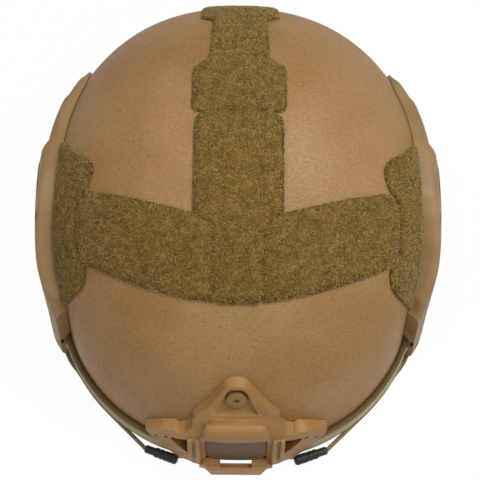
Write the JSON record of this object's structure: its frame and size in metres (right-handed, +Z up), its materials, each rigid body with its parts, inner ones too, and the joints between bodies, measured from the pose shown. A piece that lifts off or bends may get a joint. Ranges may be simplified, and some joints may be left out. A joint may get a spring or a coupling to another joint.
{
  "type": "combat helmet",
  "caption": "High-cut helmet with loop fabric on the crown, side accessory rails, a front device shroud, an edge trim, a padded liner with a nape dial and a buckled chin strap.",
  "frame": {"origin": "middle of the box's underside, on the surface that the edge trim stands on", "axes": "+Z up through the crown, the front of the helmet faces -Y, +X to the right seen from the front"},
  "size_m": [0.2458, 0.2945, 0.1757],
  "materials": {
    "shell_paint": "matt tan paint with a fine leathery grain over a pressed laminate",
    "trim_rubber": "matt khaki rubber with darker edges",
    "loop_fabric": "olive-brown loop pile",
    "moulded_tan": "satin moulded nylon",
    "painted_screw": "painted domed screw head",
    "dark_steel": "dark zinc-plated steel",
    "bungee_cord": "braided elastic cord",
    "black_plastic": "black moulded nylon with a light grain",
    "hook_tape": "black hook tape",
    "pad_fabric": "brushed wicking fabric over foam",
    "webbing": "woven nylon webbing"
  },
  "bodies": {
    "helmet": {"shell": "shell_paint", "edge_trim": "trim_rubber", "loop_rear_strip": "loop_fabric", "loop_centre_strip": "loop_fabric", "loop_band_left": "loop_fabric", "loop_band_right": "loop_fabric", "loop_side_left": "loop_fabric", "loop_side_right": "loop_fabric", "rail_left": "moulded_tan", "rail_right": "moulded_tan", "rail_screws": "dark_steel", "rail_nuts": "dark_steel", "shroud_frame": "moulded_tan", "shroud_screw": "painted_screw", "shroud_nut": "dark_steel", "bungee_left": "bungee_cord", "bungee_right": "bungee_cord", "bungee_hook_left": "black_plastic", "bungee_hook_right": "black_plastic", "crown_pad": "pad_fabric", "front_pad": "pad_fabric", "rear_pad": "pad_fabric", "side_pad_front_left": "pad_fabric", "side_pad_front_right": "pad_fabric", "side_pad_rear_left": "pad_fabric", "side_pad_rear_right": "pad_fabric", "hook_discs": "hook_tape", "nape_pad": "pad_fabric", "dial_housing": "black_plastic", "fit_band_left": "black_plastic", "fit_band_right": "black_plastic", "strap_front_left": "webbing", "strap_front_right": "webbing", "strap_rear_left": "webbing", "strap_rear_right": "webbing", "slider_left": "black_plastic", "slider_right": "black_plastic", "chin_strap_left": "webbing", "chin_strap_right": "webbing", "chin_cup": "pad_fabric", "buckle_socket": "black_plastic", "buckle_tongue": "black_plastic"},
    "dial": {"dial_knob": "black_plastic", "dial_spool": "moulded_tan", "dial_screw": "dark_steel"},
    "prong_front": {"buckle_prong_front": "black_plastic"},
    "prong_rear": {"buckle_prong_rear": "black_plastic"}
  },
  "joints": [
    {"name": "dial_turn", "type": "hinge", "parent": "helmet", "child": "dial", "pos_m": [0, 0.1049, 0.025], "axis": [0, 1, 0], "continuous": true},
    {"name": "prong_front_squeeze", "type": "hinge", "parent": "helmet", "child": "prong_front", "pos_m": [0.0453, -0.0222, 0.005], "axis": [0, 0, 1], "range_deg": [-6, 0], "stiffness_Nm_per_rad": 1},
    {"name": "prong_rear_squeeze", "type": "hinge", "parent": "helmet", "child": "prong_rear", "pos_m": [0.0453, -0.0058, 0.005], "axis": [0, 0, 1], "range_deg": [0, 6], "stiffness_Nm_per_rad": 1}
  ],
  "couplings": [
    {"joint": "prong_rear_squeeze", "follows": "prong_front_squeeze", "ratio": -1}
  ]
}
